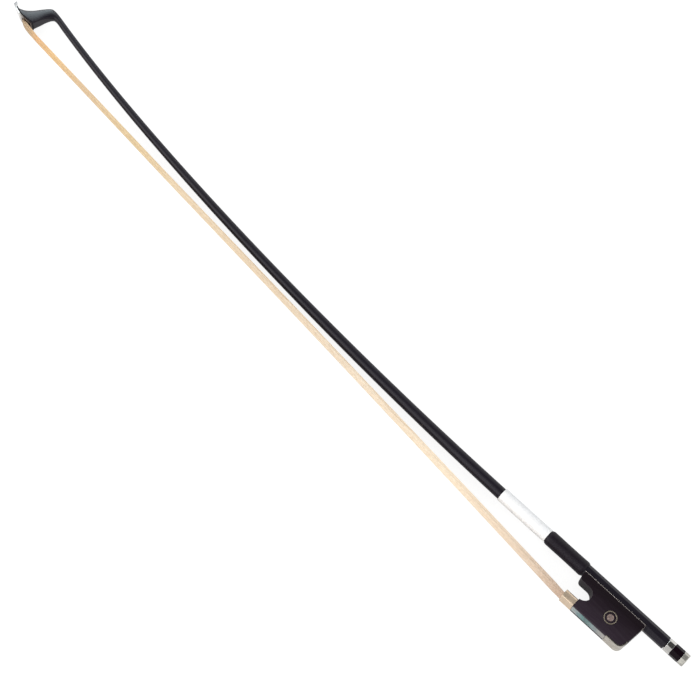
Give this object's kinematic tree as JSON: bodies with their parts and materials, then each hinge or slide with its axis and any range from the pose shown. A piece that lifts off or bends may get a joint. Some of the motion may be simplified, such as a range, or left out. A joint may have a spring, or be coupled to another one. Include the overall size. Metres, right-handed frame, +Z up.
{
  "type": "cello bow",
  "caption": "Cello bow with a cambered stick, a high head and a hair ribbon, and a frog that slides back and tightens the hair as the screw in its button is turned.",
  "frame": {"origin": "middle of the bow's underside as it lies on its side: halfway along its length, halfway between the head's crown and the frog's underside, on the plane of the frog's lower side", "axes": "+X along the stick from the button to the tip, +Y from the stick to the hair, +Z up through the side of the frog"},
  "size_m": [0.7176, 0.0754, 0.0138],
  "materials": {
    "stick_black": "satin black composite with a faint bluish sheen",
    "leather": "fine grained black leather",
    "wire": "bright silver wire",
    "nickel": "polished nickel silver, warm",
    "silver": "polished silver",
    "ebony": "polished ebony",
    "shell": "abalone shell, blue-green and grey",
    "pearl": "pinkish grey mother-of-pearl",
    "hair": "unbleached horsehair",
    "maple": "plain cut maple",
    "brass": "turned brass",
    "steel": "plain steel"
  },
  "bodies": {
    "stick_body": {"stick": "stick_black", "thumb_grip": "leather", "wire_winding": "wire", "tip_liner": "ebony", "tip_plate": "silver", "tip_plug": "maple", "tip_hair_knot": "hair", "hair_ribbon": "hair"},
    "frog": {"frog_body": "ebony", "underslide": "nickel", "underslide_pin_rear": "nickel", "underslide_pin_front": "nickel", "eyelet": "brass", "ferrule": "nickel", "spreader_wedge": "maple", "frog_plug": "maple", "frog_hair_knot": "hair", "slide_backing": "ebony", "slide_pearl": "shell", "heel_plate": "silver", "heel_pin_far": "silver", "heel_pin_near": "silver", "eye_ring_near": "nickel", "eye_ring_far": "nickel", "eye_pearl_near": "pearl", "eye_pearl_far": "pearl"},
    "screw": {"screw_shaft": "steel", "button_collar": "silver", "button_core": "ebony", "button_cap": "silver"}
  },
  "joints": [
    {"name": "screw_turn", "type": "hinge", "parent": "stick_body", "child": "screw", "pos_m": [-0.3501, 0.01045, 0.0069], "axis": [1, 0, 0], "range_deg": [0, 3600]},
    {"name": "frog_slide", "type": "slide", "parent": "stick_body", "child": "frog", "axis": [1, 0, 0], "range_m": [-0.007, 0], "deforming": ["hair_ribbon"]}
  ],
  "couplings": [
    {"joint": "screw_turn", "follows": "frog_slide", "rad_per_m": -8976}
  ]
}
